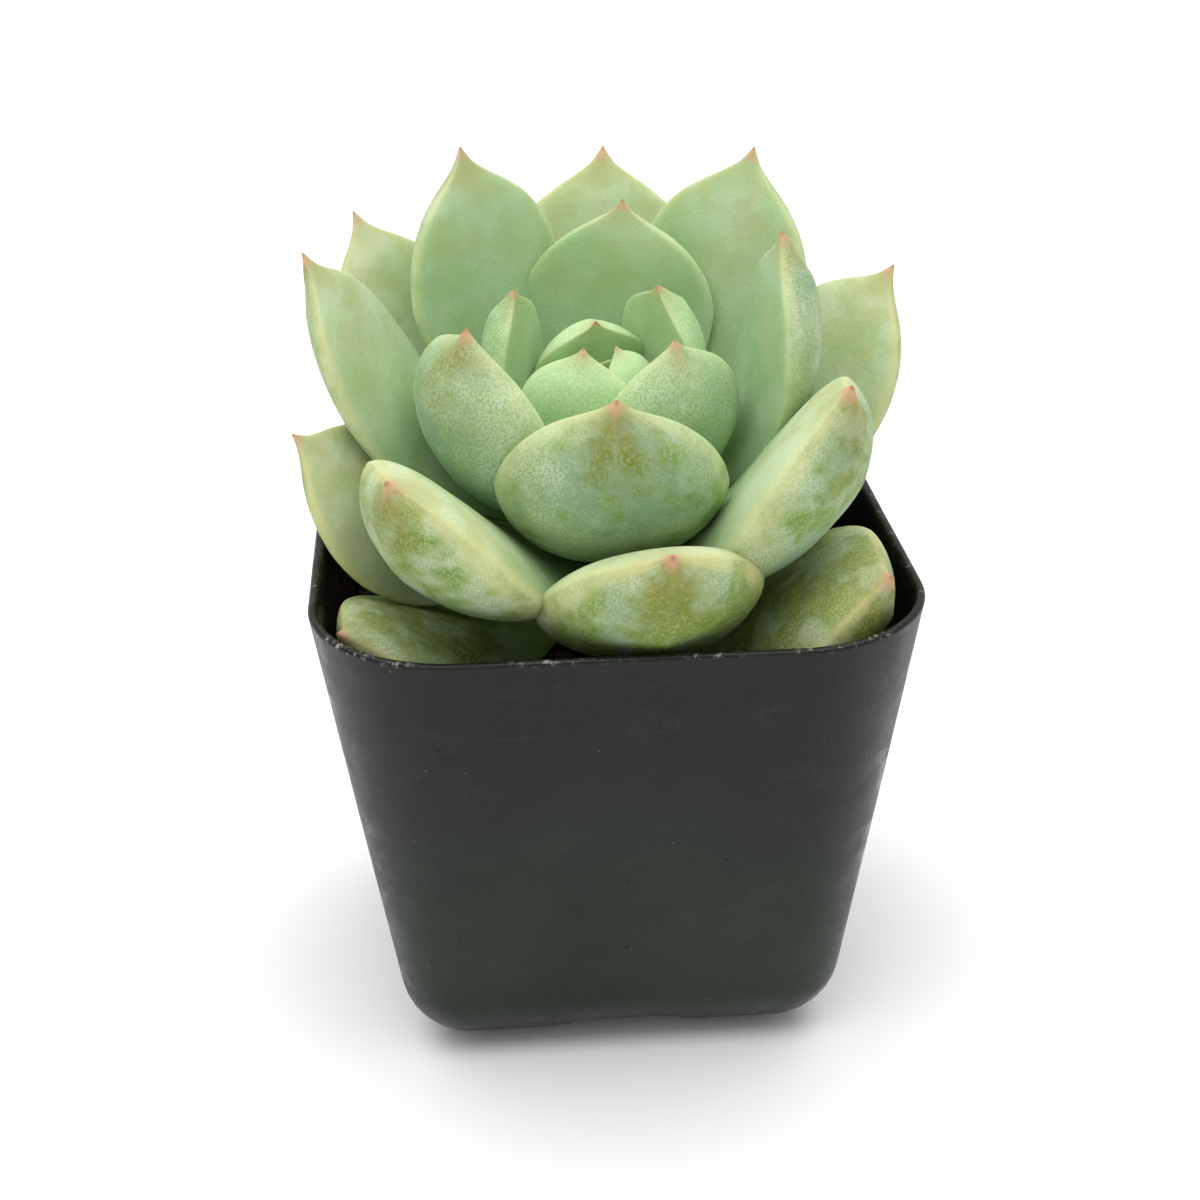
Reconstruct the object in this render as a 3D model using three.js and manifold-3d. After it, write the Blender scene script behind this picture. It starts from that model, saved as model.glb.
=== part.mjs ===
// A rosette succulent growing in a small square nursery pot. Millimetres, +Z up.
// The origin is at the middle of the pot's underside, and the front of the pot faces -Y.
import * as THREE from "three";
import { mergeVertices } from "three/addons/utils/BufferGeometryUtils.js";
import Module from "manifold-3d";

const wasm = await Module();
wasm.setup();
const rad = THREE.MathUtils.degToRad;

// ---------------------------------------------------------------- driving dimensions
const POT_TOP_WIDTH = 54; // outside, flat side to flat side at the rim
const POT_BASE_WIDTH = 39; // outside, where the slope of the walls meets the ground
const POT_HEIGHT = 45;
const POT_WALL = 0.9;
const POT_FLOOR = 1.2;
const RIM_CORNER = 13; // corner radius in plan at the rim
const BASE_CORNER = 4; // corner radius in plan where the slope meets the ground
const BOTTOM_EDGE = 7; // radius of the edge between wall and underside
const NOTCH_WIDTH = 15; // arch in the middle of each side of the bottom edge
const NOTCH_RISE = 1;
const DRAIN_WIDTH = 5; // each of the four drain holes in the floor
const DRAIN_OFFSET = 9; // from the middle of the floor to a drain hole's middle

const SOIL_BELOW_RIM = 11.5;
const SOIL_LEVEL = POT_HEIGHT - SOIL_BELOW_RIM;
const SOIL_MOUND = 1.2; // how far the mix rises around the stem
const SOIL_GAP = 0.3; // between the mix and the pot, and between the mix and the stem

const CROWN_ABOVE_RIM = 9; // growing point above the rim
const CROWN_HEIGHT = POT_HEIGHT + CROWN_ABOVE_RIM;
const ROSETTE_LEAN = 15; // degrees the rosette faces towards the front
const FACE_LIGHT = 20; // degrees an old leaf at the side rolls its upper face to the front
const LEAF_TURN = 137.5; // degrees from each leaf to the next older one
const FIRST_LEAF = 142; // azimuth of the youngest leaf, from +X towards +Y
const LEAF_DROP = 0.5; // down the stem from each leaf to the next older one
const CROWN_RADIUS = 0.8; // from the stem's axis to the foot of the youngest leaf
const STEM_FLARE = 0.15; // extra radius at the foot of each older leaf
const LEAF_CURL = 60; // degrees a leaf bends upwards from foot to tip
const CURL_EARLY = 2.2; // 1 bends evenly; more brings the bend nearer the foot
const YOUNG_BACK = 0.3; // depth of a young leaf's rounded back, as a share of its width
const OLD_BACK = 0.25;
const YOUNG_FRONT = 0.06; // height of a young leaf's upper face, as a share of its width
const OLD_FRONT = 0.17; // old leaves are plumper above
const LEAF_GAP = 0.25; // kept clear between a leaf and what presses on it
const STEM_GAP = 0.3; // kept clear between a leaf's foot and the stem

// One row per leaf from the youngest. rank is its place in the spiral; some old ones are lost.
// length, straight from foot to tip, and width in mm; lift is the elevation of that line
// above the rosette's plane, turn its drift round the stem from its place in the spiral,
// roll its own extra roll, all in degrees. Some leaves have a curl or a back of their own,
// or a foot that stands so many mm higher up the stem.
const LEAVES = [
  { rank: 0, length: 5, width: 3, lift: 88, turn: 0 },
  { rank: 1, length: 7, width: 4, lift: 87, turn: 0 },
  { rank: 2, length: 9, width: 5.5, lift: 86, turn: 0 },
  { rank: 3, length: 11, width: 7, lift: 85, turn: 0 },
  { rank: 4, length: 12.5, width: 8, lift: 92, turn: -4 },
  { rank: 5, length: 13.5, width: 11, lift: 84, turn: -8 },
  { rank: 6, length: 17, width: 12, lift: 76, turn: -1 },
  { rank: 7, length: 18.5, width: 12, lift: 79, turn: 4 },
  { rank: 8, length: 19.5, width: 11, lift: 71, turn: -3 },
  { rank: 9, length: 21, width: 15.5, lift: 71, turn: 6, roll: -5 },
  { rank: 10, length: 25, width: 18, lift: 63, turn: 2 },
  { rank: 11, length: 26, width: 18.5, lift: 62, turn: -2, roll: 7 },
  { rank: 12, length: 31, width: 14.5, lift: 67, turn: -1, roll: 8, curl: 82 },
  { rank: 13, length: 33, width: 16.5, lift: 60, turn: -1 },
  { rank: 14, length: 27.5, width: 20, lift: 58, turn: 1, back: 0.26 },
  { rank: 15, length: 34, width: 18, lift: 56, turn: 3 },
  { rank: 16, length: 36, width: 15, lift: 51, turn: -4, back: 0.19 },
  { rank: 17, length: 33.5, width: 21, lift: 49, turn: -2.5, roll: 2 },
  { rank: 18, length: 33.5, width: 20.5, lift: 50, turn: -11 },
  { rank: 19, length: 33, width: 19.5, lift: 38, turn: -5, raise: 2 },
  { rank: 20, length: 33.5, width: 16.5, lift: 44, turn: 3 },
  { rank: 21, length: 35, width: 15.5, lift: 44, turn: -10 },
  { rank: 22, length: 30.5, width: 20, lift: 39, turn: -10.5, roll: -2, back: 0.26 },
  { rank: 23, length: 32.5, width: 18, lift: 40, turn: 0 },
  { rank: 24, length: 30.5, width: 15, lift: 38, turn: -8, roll: -20, back: 0.17 },
  { rank: 26, length: 32.5, width: 18, lift: 34, turn: 0 },
  { rank: 28, length: 29.5, width: 18, lift: 30, turn: 0 },
  { rank: 29, length: 23.5, width: 16, lift: 27, turn: -4 },
  { rank: 30, length: 31, width: 20, lift: 31, turn: 8, roll: 8 },
  { rank: 31, length: 22.5, width: 18, lift: 24, turn: 0 },
  { rank: 32, length: 28, width: 16, lift: 23, turn: -3, roll: 10 },
  { rank: 34, length: 22, width: 16, lift: 22, turn: 0 },
  { rank: 36, length: 21, width: 16, lift: 18, turn: 0 },
];

// Leaf form against the share of its length: half-width as a share of the widest, depth as
// a share of the deepest, and how far the margins stand forward of the midrib.
const OUTLINE = [
  [0, 0.4], [0.12, 0.46], [0.25, 0.64], [0.4, 0.86], [0.5, 0.96], [0.6, 1], [0.69, 0.95],
  [0.77, 0.83], [0.835, 0.66], [0.885, 0.45], [0.925, 0.24], [0.955, 0.11], [1, 0],
];
const DEPTH = [
  [0, 0.22], [0.15, 0.34], [0.3, 0.62], [0.45, 0.9], [0.6, 1], [0.74, 0.94], [0.85, 0.72],
  [0.93, 0.33], [1, 0.02],
];
const CUP = [[0, 0.02], [0.3, 0.03], [0.6, 0.04], [0.85, 0.06], [1, 0]];
const SECTIONS = [0, 0.12, 0.25, 0.38, 0.51, 0.63, 0.73, 0.81, 0.87, 0.915, 0.945];
const AROUND = 10; // points round each section

const GREEN = 0xa3c79b;
const TIP_GREEN = 0xb4cf98;

// ---------------------------------------------------------------- helpers
// Value of a table at s, by a monotone cubic through its points.
function along(table, s) {
  let k = 0;
  while (k < table.length - 2 && s > table[k + 1][0]) k++;
  const slope = (i) => (table[i + 1][1] - table[i][1]) / (table[i + 1][0] - table[i][0]);
  const tangent = (i) => {
    if (i === 0) return slope(0);
    if (i === table.length - 1) return slope(i - 1);
    const before = slope(i - 1);
    const after = slope(i);
    return before * after <= 0 ? 0 : (2 * before * after) / (before + after);
  };
  const step = table[k + 1][0] - table[k][0];
  const t = (s - table[k][0]) / step;
  const from = (2 * t ** 3 - 3 * t ** 2 + 1) * table[k][1];
  const to = (3 * t ** 2 - 2 * t ** 3) * table[k + 1][1];
  const leave = (t ** 3 - 2 * t ** 2 + t) * step * tangent(k);
  const arrive = (t ** 3 - t ** 2) * step * tangent(k + 1);
  return from + to + leave + arrive;
}

// Closed skin through rings of equal length, with a point closing each end.
function loft(rings, start, end) {
  const n = rings[0].length;
  const points = [...rings.flat(), start, end];
  const last = (rings.length - 1) * n;
  const startAt = rings.length * n;
  const faces = [];
  for (let j = 0; j < n; j++) {
    const k = (j + 1) % n;
    for (let i = 0; i < last; i += n) {
      faces.push(i + j, i + k, i + n + j);
      faces.push(i + k, i + n + k, i + n + j);
    }
    faces.push(j, startAt, k);
    faces.push(last + j, last + k, startAt + 1);
  }
  const geometry = new THREE.BufferGeometry();
  geometry.setAttribute("position", new THREE.Float32BufferAttribute(points.flat(), 3));
  geometry.setIndex(faces);
  return geometry;
}

function toSolid(geometry) {
  const bare = geometry.clone();
  bare.deleteAttribute("normal");
  bare.deleteAttribute("uv");
  const merged = mergeVertices(bare, 1e-4);
  const mesh = new wasm.Mesh({
    numProp: 3,
    vertProperties: new Float32Array(merged.attributes.position.array),
    triVerts: new Uint32Array(merged.index.array),
  });
  return new wasm.Manifold(mesh);
}

// The largest single piece of a solid, back as a geometry.
function toGeometry(solid) {
  const pieces = solid.decompose();
  pieces.sort((a, b) => b.volume() - a.volume());
  const mesh = pieces[0].getMesh();
  const geometry = new THREE.BufferGeometry();
  geometry.setAttribute("position", new THREE.Float32BufferAttribute(mesh.vertProperties, 3));
  geometry.setIndex(new THREE.Uint32BufferAttribute(mesh.triVerts, 1));
  return geometry;
}

const root = new THREE.Group();

function addMesh(parent, name, geometry, color, roughness) {
  geometry.computeVertexNormals();
  const mesh = new THREE.Mesh(geometry, new THREE.MeshStandardMaterial({ color, roughness }));
  mesh.name = name;
  parent.add(mesh);
  return mesh;
}

// ---------------------------------------------------------------- pot
const SIDE_STEPS = 8;
const CORNER_STEPS = 6;

// Rounded square, counter-clockwise from above. rise lifts the middle of each side.
function squareRing(half, corner, z, rise) {
  const flat = half - corner;
  const points = [];
  for (let side = 0; side < 4; side++) {
    const turn = (side * Math.PI) / 2;
    const put = (out, across) => {
      const reach = Math.abs(across) / (NOTCH_WIDTH / 2);
      const arch = 0.5 + 0.5 * Math.cos(Math.PI * THREE.MathUtils.clamp((reach - 0.35) / 0.65, 0, 1));
      points.push([
        out * Math.cos(turn) - across * Math.sin(turn),
        out * Math.sin(turn) + across * Math.cos(turn),
        z + rise * arch,
      ]);
    };
    for (let k = 0; k < SIDE_STEPS; k++) put(half, flat * ((2 * k) / SIDE_STEPS - 1));
    for (let k = 0; k < CORNER_STEPS; k++) {
      const t = (k / CORNER_STEPS) * (Math.PI / 2);
      put(flat + corner * Math.cos(t), flat + corner * Math.sin(t));
    }
  }
  return points;
}

const wallHalf = (z) => THREE.MathUtils.lerp(POT_BASE_WIDTH, POT_TOP_WIDTH, z / POT_HEIGHT) / 2;
const wallCorner = (z) => THREE.MathUtils.lerp(BASE_CORNER, RIM_CORNER, z / POT_HEIGHT);

// Rings of one skin of the pot, from the middle of the floor out and up to top.
function potSkin(inset, floor, top) {
  const edge = BOTTOM_EDGE - inset;
  const rings = [];
  for (const share of [0.4, 0.7, 1]) {
    const half = (wallHalf(floor) - inset - edge) * share;
    rings.push(squareRing(half, half * 0.3, floor, (NOTCH_RISE * Math.max(0, share - 0.4)) / 0.6));
  }
  for (let k = 1; k <= 5; k++) {
    const a = (k / 5) * (Math.PI / 2);
    const z = floor + edge * (1 - Math.cos(a));
    const pull = inset + edge * (1 - Math.sin(a));
    rings.push(squareRing(wallHalf(z) - pull, Math.max(2, wallCorner(z) - pull * 0.5), z, NOTCH_RISE * (1 - k / 5)));
  }
  for (const z of [THREE.MathUtils.lerp(floor + edge, top, 0.33), THREE.MathUtils.lerp(floor + edge, top, 0.66), top])
    rings.push(squareRing(wallHalf(z) - inset, wallCorner(z) - inset, z, 0));
  return rings;
}

const rim = (inset, z) => squareRing(wallHalf(z) - inset, wallCorner(z) - inset, z, 0);
const potRings = [
  ...potSkin(0, 0, POT_HEIGHT - 0.5),
  rim(0.1, POT_HEIGHT - 0.12),
  rim(POT_WALL / 2, POT_HEIGHT),
  rim(POT_WALL - 0.1, POT_HEIGHT - 0.12),
  ...potSkin(POT_WALL, POT_FLOOR, POT_HEIGHT - 0.5).reverse(),
];
let potSolid = toSolid(loft(potRings, [0, 0, 0], [0, 0, POT_FLOOR]));
for (let side = 0; side < 4; side++) {
  const drill = new THREE.CylinderGeometry(DRAIN_WIDTH / 2, DRAIN_WIDTH / 2, 8, 16);
  drill.rotateX(Math.PI / 2);
  drill.translate(DRAIN_OFFSET, 0, 0);
  drill.rotateZ((side * Math.PI) / 2 + Math.PI / 4);
  potSolid = potSolid.subtract(toSolid(drill));
}
addMesh(root, "pot", toGeometry(potSolid), 0x2c312e, 0.5);

// ---------------------------------------------------------------- rosette
// The rosette's own frame: origin at the crown, +Z along the stem, leaning to the front.
const rosette = new THREE.Group();
rosette.position.z = CROWN_HEIGHT;
rosette.rotation.x = rad(ROSETTE_LEAN);
rosette.updateMatrix();
root.add(rosette);

const footRadius = (rank) => CROWN_RADIUS + STEM_FLARE * rank;

const azimuthOf = (leaf) => rad(FIRST_LEAF + LEAF_TURN * leaf.rank + leaf.turn);

// Where a leaf's foot stands in the rosette: its own +X points out along the leaf.
function footMatrix(leaf) {
  const down = LEAF_DROP * leaf.rank - (leaf.raise ?? 0);
  const out = new THREE.Matrix4().makeTranslation(footRadius(leaf.rank), 0, -down);
  return new THREE.Matrix4().makeRotationZ(azimuthOf(leaf)).multiply(out);
}

// Midrib of a leaf: for a share s of its length, how far out and up it is, and its elevation.
const MIDRIB_STEPS = 60;
function midribOf(leaf) {
  const curl = rad(leaf.curl ?? LEAF_CURL);
  const bent = (s) => curl * (1 - (1 - Math.min(s, 1)) ** CURL_EARLY);
  const points = [[0, 0]];
  for (let k = 0; k < MIDRIB_STEPS; k++) {
    const a = bent((k + 0.5) / MIDRIB_STEPS);
    const [x, y] = points[k];
    points.push([x + Math.cos(a), y + Math.sin(a)]);
  }
  const [x, y] = points[MIDRIB_STEPS];
  const start = rad(leaf.lift) - Math.atan2(y, x);
  const step = leaf.length / Math.hypot(x, y);
  return (s) => {
    const k = Math.min(Math.floor(s * MIDRIB_STEPS), MIDRIB_STEPS - 1);
    const t = s * MIDRIB_STEPS - k;
    const px = THREE.MathUtils.lerp(points[k][0], points[k + 1][0], t) * step;
    const py = THREE.MathUtils.lerp(points[k][1], points[k + 1][1], t) * step;
    const out = px * Math.cos(start) - py * Math.sin(start);
    const up = px * Math.sin(start) + py * Math.cos(start);
    return [out, up, start + bent(s)];
  };
}

// Leaf in its own frame, foot at the origin; grow makes it that much larger all round.
function leafGeometry(leaf, grow) {
  const midrib = midribOf(leaf);
  const half = leaf.width / 2;
  const age = THREE.MathUtils.clamp((leaf.rank - 8) / 12, 0, 1);
  const back = leaf.back ?? THREE.MathUtils.lerp(YOUNG_BACK, OLD_BACK, age);
  const front = THREE.MathUtils.lerp(YOUNG_FRONT, OLD_FRONT, age);
  const fullRoll = rad((leaf.roll ?? 0) + FACE_LIGHT * age * Math.cos(azimuthOf(leaf)));
  const rings = SECTIONS.map((s) => {
    const [out, up, at] = midrib(s);
    const roll = fullRoll * Math.min(1, s / 0.45);
    const ring = [];
    for (let j = 0; j < AROUND; j++) {
      const a = (2 * Math.PI * j) / AROUND;
      const across = (half * along(OUTLINE, s) + grow) * Math.cos(a);
      const side = Math.sin(a) >= 0 ? front : -back;
      const bulge = side * leaf.width * along(DEPTH, s) + Math.sign(side) * grow;
      const lens = bulge * Math.abs(Math.sin(a)) ** 1.2;
      const proud = along(CUP, s) * half * Math.cos(a) ** 2 + lens;
      const v = across * Math.cos(roll) - proud * Math.sin(roll);
      const w = across * Math.sin(roll) + proud * Math.cos(roll);
      ring.push([out - w * Math.sin(at), v, up + w * Math.cos(at)]);
    }
    return ring;
  });
  const [tipOut, tipUp] = midrib(1 + grow / leaf.length);
  return loft(rings, [0, 0, 0], [tipOut, 0, tipUp]);
}

// Stem: a cone that widens downwards inside the leaves' feet, then runs into the mix.
const oldest = LEAVES[LEAVES.length - 1].rank;
function stemGeometry(grow) {
  const points = [[0, 0.6 + grow]];
  for (const rank of [0, 8, 16, 24, oldest])
    points.push([Math.max(0.5, footRadius(rank) - STEM_GAP) + grow, -LEAF_DROP * rank - 0.2]);
  const foot = points[points.length - 1][0];
  points.push([foot * 0.9, -LEAF_DROP * oldest - 5]);
  points.push([foot * 0.6, -LEAF_DROP * oldest - 11 - grow]);
  points.push([0, -LEAF_DROP * oldest - 12 - grow]);
  const profile = points.reverse().map(([r, z]) => new THREE.Vector2(r, z));
  return new THREE.LatheGeometry(profile, 20).rotateX(Math.PI / 2);
}
addMesh(rosette, "stem", stemGeometry(0), 0xa9b77c, 0.7);
const stemRoom = toSolid(stemGeometry(STEM_GAP));

// The pot's wall with LEAF_GAP round it, and the same seen from the rosette.
const wallTop = POT_HEIGHT + LEAF_GAP;
const hollowFloor = POT_FLOOR + LEAF_GAP;
const wallOutside = toSolid(loft(potSkin(-LEAF_GAP, 0, wallTop), [0, 0, 0], [0, 0, wallTop]));
const hollow = potSkin(POT_WALL + LEAF_GAP, hollowFloor, wallTop + 1);
const wallInside = toSolid(loft(hollow, [0, 0, hollowFloor], [0, 0, wallTop + 1]));
const wallRoom = wallOutside.subtract(wallInside).transform(rosette.matrix.clone().invert().elements);

// Each leaf is pressed hollow wherever a younger one, or the pot's wall, lies against it.
const younger = [];
LEAVES.forEach((leaf, i) => {
  const foot = footMatrix(leaf);
  let body = toSolid(leafGeometry(leaf, 0)).transform(foot.elements).subtract(stemRoom);
  const box = body.boundingBox();
  for (const other of younger) {
    const near = [0, 1, 2].every((k) => other.box.min[k] < box.max[k] && other.box.max[k] > box.min[k]);
    if (near) body = body.subtract(other.room);
  }
  if (body.intersect(wallRoom).volume() > 0) body = body.subtract(wallRoom);
  const room = toSolid(leafGeometry(leaf, LEAF_GAP)).transform(foot.elements);
  younger.push({ room, box: room.boundingBox() });
  const own = body.transform(foot.clone().invert().elements);
  const name = `leaf_${String(i + 1).padStart(2, "0")}`;
  const mesh = addMesh(rosette, name, toGeometry(own), leaf.rank < 10 ? TIP_GREEN : GREEN, 0.6);
  mesh.applyMatrix4(foot);
});

// ---------------------------------------------------------------- potting mix
// Fills the pot to SOIL_LEVEL, mounded round the stem, with the oldest leaves resting in it.
const mixRings = potSkin(POT_WALL + SOIL_GAP, POT_FLOOR + SOIL_GAP, SOIL_LEVEL);
for (const share of [0.75, 0.45]) {
  const half = (wallHalf(SOIL_LEVEL) - POT_WALL - SOIL_GAP) * share;
  mixRings.push(squareRing(half, half * 0.6, SOIL_LEVEL + SOIL_MOUND * (1 - share), 0));
}
const mixTop = [0, 0, SOIL_LEVEL + SOIL_MOUND];
let mix = toSolid(loft(mixRings, [0, 0, POT_FLOOR + SOIL_GAP], mixTop));
mix = mix.subtract(stemRoom.transform(rosette.matrix.elements));
for (const { room } of younger) mix = mix.subtract(room.transform(rosette.matrix.elements));
addMesh(root, "potting_mix", toGeometry(mix), 0x3b2f26, 0.95);

export default root;
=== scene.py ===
# Looks for the potted rosette succulent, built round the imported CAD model. Metres, +Z up.
import math
import random

import bmesh
import bpy
import numpy as np
from mathutils import Matrix, Vector, noise


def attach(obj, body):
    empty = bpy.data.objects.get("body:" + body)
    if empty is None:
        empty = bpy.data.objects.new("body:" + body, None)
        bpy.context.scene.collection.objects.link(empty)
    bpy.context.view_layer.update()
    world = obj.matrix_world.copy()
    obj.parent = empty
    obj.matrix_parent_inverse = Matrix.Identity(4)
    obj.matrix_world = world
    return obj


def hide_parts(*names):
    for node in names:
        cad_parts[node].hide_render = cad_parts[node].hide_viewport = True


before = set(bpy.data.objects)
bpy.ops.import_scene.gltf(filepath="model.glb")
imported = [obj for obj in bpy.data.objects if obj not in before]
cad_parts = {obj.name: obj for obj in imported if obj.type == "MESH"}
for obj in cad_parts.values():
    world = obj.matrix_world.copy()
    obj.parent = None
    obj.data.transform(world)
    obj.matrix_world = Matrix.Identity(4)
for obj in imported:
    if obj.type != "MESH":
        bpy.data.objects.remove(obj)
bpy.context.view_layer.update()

MM = 0.001

# ---------------------------------------------------------------- sizes, in mm, as the CAD has them
POT_TOP_WIDTH = 54
POT_BASE_WIDTH = 39
POT_HEIGHT = 45
POT_WALL = 0.9
POT_FLOOR = 1.2
RIM_CORNER = 13
BASE_CORNER = 4
BOTTOM_EDGE = 7
NOTCH_WIDTH = 15
NOTCH_RISE = 1
DRAIN_WIDTH = 5
DRAIN_OFFSET = 9
SOIL_BELOW_RIM = 11.5
SOIL_LEVEL = POT_HEIGHT - SOIL_BELOW_RIM
SOIL_MOUND = 1.2
SOIL_GAP = 0.3
CROWN_ABOVE_RIM = 9
CROWN_HEIGHT = POT_HEIGHT + CROWN_ABOVE_RIM
ROSETTE_LEAN = 15
FACE_LIGHT = 20
LEAF_TURN = 137.5
FIRST_LEAF = 142
LEAF_DROP = 0.5
CROWN_RADIUS = 0.8
STEM_FLARE = 0.15
LEAF_CURL = 60
CURL_EARLY = 2.2
YOUNG_BACK, OLD_BACK = 0.3, 0.25
YOUNG_FRONT, OLD_FRONT = 0.06, 0.17

# One row per leaf from the youngest; rank is its place in the spiral.
LEAVES = [
    {"rank": 0, "length": 5, "width": 3, "lift": 88, "turn": 0},
    {"rank": 1, "length": 7, "width": 4, "lift": 87, "turn": 0},
    {"rank": 2, "length": 9, "width": 5.5, "lift": 86, "turn": 0},
    {"rank": 3, "length": 11, "width": 7, "lift": 85, "turn": 0},
    {"rank": 4, "length": 12.5, "width": 8, "lift": 92, "turn": -4},
    {"rank": 5, "length": 13.5, "width": 11, "lift": 84, "turn": -8},
    {"rank": 6, "length": 17, "width": 12, "lift": 76, "turn": -1},
    {"rank": 7, "length": 18.5, "width": 12, "lift": 79, "turn": 4},
    {"rank": 8, "length": 19.5, "width": 11, "lift": 71, "turn": -3},
    {"rank": 9, "length": 21, "width": 15.5, "lift": 71, "turn": 6, "roll": -5},
    {"rank": 10, "length": 25, "width": 18, "lift": 63, "turn": 2},
    {"rank": 11, "length": 26, "width": 18.5, "lift": 62, "turn": -2, "roll": 7},
    {"rank": 12, "length": 31, "width": 14.5, "lift": 67, "turn": -1, "roll": 8, "curl": 82},
    {"rank": 13, "length": 33, "width": 16.5, "lift": 60, "turn": -1},
    {"rank": 14, "length": 27.5, "width": 20, "lift": 58, "turn": 1, "back": 0.26},
    {"rank": 15, "length": 34, "width": 18, "lift": 56, "turn": 3},
    {"rank": 16, "length": 36, "width": 15, "lift": 51, "turn": -4, "back": 0.19},
    {"rank": 17, "length": 33.5, "width": 21, "lift": 49, "turn": -2.5, "roll": 2},
    {"rank": 18, "length": 33.5, "width": 20.5, "lift": 50, "turn": -11},
    {"rank": 19, "length": 33, "width": 19.5, "lift": 38, "turn": -5, "raise": 2},
    {"rank": 20, "length": 33.5, "width": 16.5, "lift": 44, "turn": 3},
    {"rank": 21, "length": 35, "width": 15.5, "lift": 44, "turn": -10},
    {"rank": 22, "length": 30.5, "width": 20, "lift": 39, "turn": -10.5, "roll": -2, "back": 0.26},
    {"rank": 23, "length": 32.5, "width": 18, "lift": 40, "turn": 0},
    {"rank": 24, "length": 30.5, "width": 15, "lift": 38, "turn": -8, "roll": -20, "back": 0.17},
    {"rank": 26, "length": 32.5, "width": 18, "lift": 34, "turn": 0},
    {"rank": 28, "length": 29.5, "width": 18, "lift": 30, "turn": 0},
    {"rank": 29, "length": 23.5, "width": 16, "lift": 27, "turn": -4},
    {"rank": 30, "length": 31, "width": 20, "lift": 31, "turn": 8, "roll": 8},
    {"rank": 31, "length": 22.5, "width": 18, "lift": 24, "turn": 0},
    {"rank": 32, "length": 28, "width": 16, "lift": 23, "turn": -3, "roll": 10},
    {"rank": 34, "length": 22, "width": 16, "lift": 22, "turn": 0},
    {"rank": 36, "length": 21, "width": 16, "lift": 18, "turn": 0},
]
OUTLINE = [
    (0, 0.4), (0.12, 0.46), (0.25, 0.64), (0.4, 0.86), (0.5, 0.96), (0.6, 1), (0.69, 0.95),
    (0.77, 0.83), (0.835, 0.66), (0.885, 0.45), (0.925, 0.24), (0.955, 0.11), (1, 0),
]
DEPTH = [
    (0, 0.22), (0.15, 0.34), (0.3, 0.62), (0.45, 0.9), (0.6, 1), (0.74, 0.94), (0.85, 0.72),
    (0.93, 0.33), (1, 0.02),
]
CUP = [(0, 0.02), (0.3, 0.03), (0.6, 0.04), (0.85, 0.06), (1, 0)]
LEAF_RINGS = 58
LEAF_AROUND = 40
LAST_RING = 0.997  # share of the length where the last ring lies, before the point itself
RING_CROWDING = 1.5  # above 1, rings lie closer towards the point
SECTION_POWER = 1.2  # 1 gives an elliptical section; more gives a sharper margin
ROLL_DONE = 0.45  # share of the length by which the roll is complete
FIRST_AGEING, AGEING_SPAN = 8, 12  # ranks over which a leaf's section goes from young to old
KEEL_HEIGHT, KEEL_SPREAD = 0.012, 0.14  # shares of the width and of the half-width
UNEVENNESS, UNEVEN_SIZE = 0.014, 0.42  # height and breadth of the low swells, shares of the width
SWAY = 0.02  # of the midrib to either side, a share of the width

RIM_ROUND = 0.5  # height of the rounded lip
LIP_RINGS = 8
WALL_WAVER, WAVER_SIZE = 0.14, 19  # how far the walls wander from true, and over what distance
DRILL_DEPTH = 8
STEM_GAP = 0.3
STEM_BELOW_LEAVES = 11  # how far the stem reaches below the oldest leaf
STEM_SCAR, SCAR_SPACING = 0.16, 2.4  # height of the leaf scars round the stem, and their spacing
SOIL_ROUGHNESS, SOIL_LUMPS = 0.55, 3.2
CRUMB_COUNT = 1500
CRUMB_SMALL, CRUMB_LARGE = 0.25, 0.8


# ---------------------------------------------------------------- shape helpers
def along(table, s):
    """Value of a table at s, by a monotone cubic through its points."""
    x = np.array([p[0] for p in table], float)
    y = np.array([p[1] for p in table], float)
    slope = np.diff(y) / np.diff(x)
    tangent = np.empty(len(x))
    tangent[0], tangent[-1] = slope[0], slope[-1]
    before, after = slope[:-1], slope[1:]
    same = before * after > 0
    tangent[1:-1] = np.where(same, 2 * before * after / np.where(same, before + after, 1), 0)
    s = np.asarray(s, float)
    k = np.clip(np.searchsorted(x, s, side="right") - 1, 0, len(x) - 2)
    step = x[k + 1] - x[k]
    t = (s - x[k]) / step
    return (
        (2 * t**3 - 3 * t**2 + 1) * y[k] + (3 * t**2 - 2 * t**3) * y[k + 1]
        + (t**3 - 2 * t**2 + t) * step * tangent[k] + (t**3 - t**2) * step * tangent[k + 1]
    )


def smooth(low, high, x):
    t = np.clip((np.asarray(x, float) - low) / (high - low), 0, 1)
    return t * t * (3 - 2 * t)


def wobble(points, size, seed):
    """Smooth noise, about -1 to 1, at points in mm; size is the width of its bumps in mm."""
    shift = Vector((seed * 7.31, seed * 3.77, seed * 5.13))
    return np.array([noise.noise(Vector(p) / size + shift) for p in points])


def loft_faces(rings, around):
    """Quads through rings of points, then a fan at each end onto two more points."""
    faces = []
    for i in range(rings - 1):
        for j in range(around):
            k = (j + 1) % around
            faces.append((i * around + j, i * around + k, (i + 1) * around + k, (i + 1) * around + j))
    last = (rings - 1) * around
    start = rings * around
    for j in range(around):
        k = (j + 1) % around
        faces.append((j, start, k))
        faces.append((last + j, last + k, start + 1))
    return faces


def add_mesh(name, points, faces, attributes=None):
    """Smooth-shaded mesh object from points in mm."""
    mesh = bpy.data.meshes.new(name)
    mesh.from_pydata([tuple(p) for p in np.asarray(points, float) * MM], [], faces)
    for key, values in (attributes or {}).items():
        layer = mesh.attributes.new(key, "FLOAT", "POINT")
        layer.data.foreach_set("value", np.asarray(values, np.float32))
    mesh.shade_smooth()
    mesh.validate()
    piece = bpy.data.objects.new(name, mesh)
    bpy.context.scene.collection.objects.link(piece)
    return piece


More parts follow.
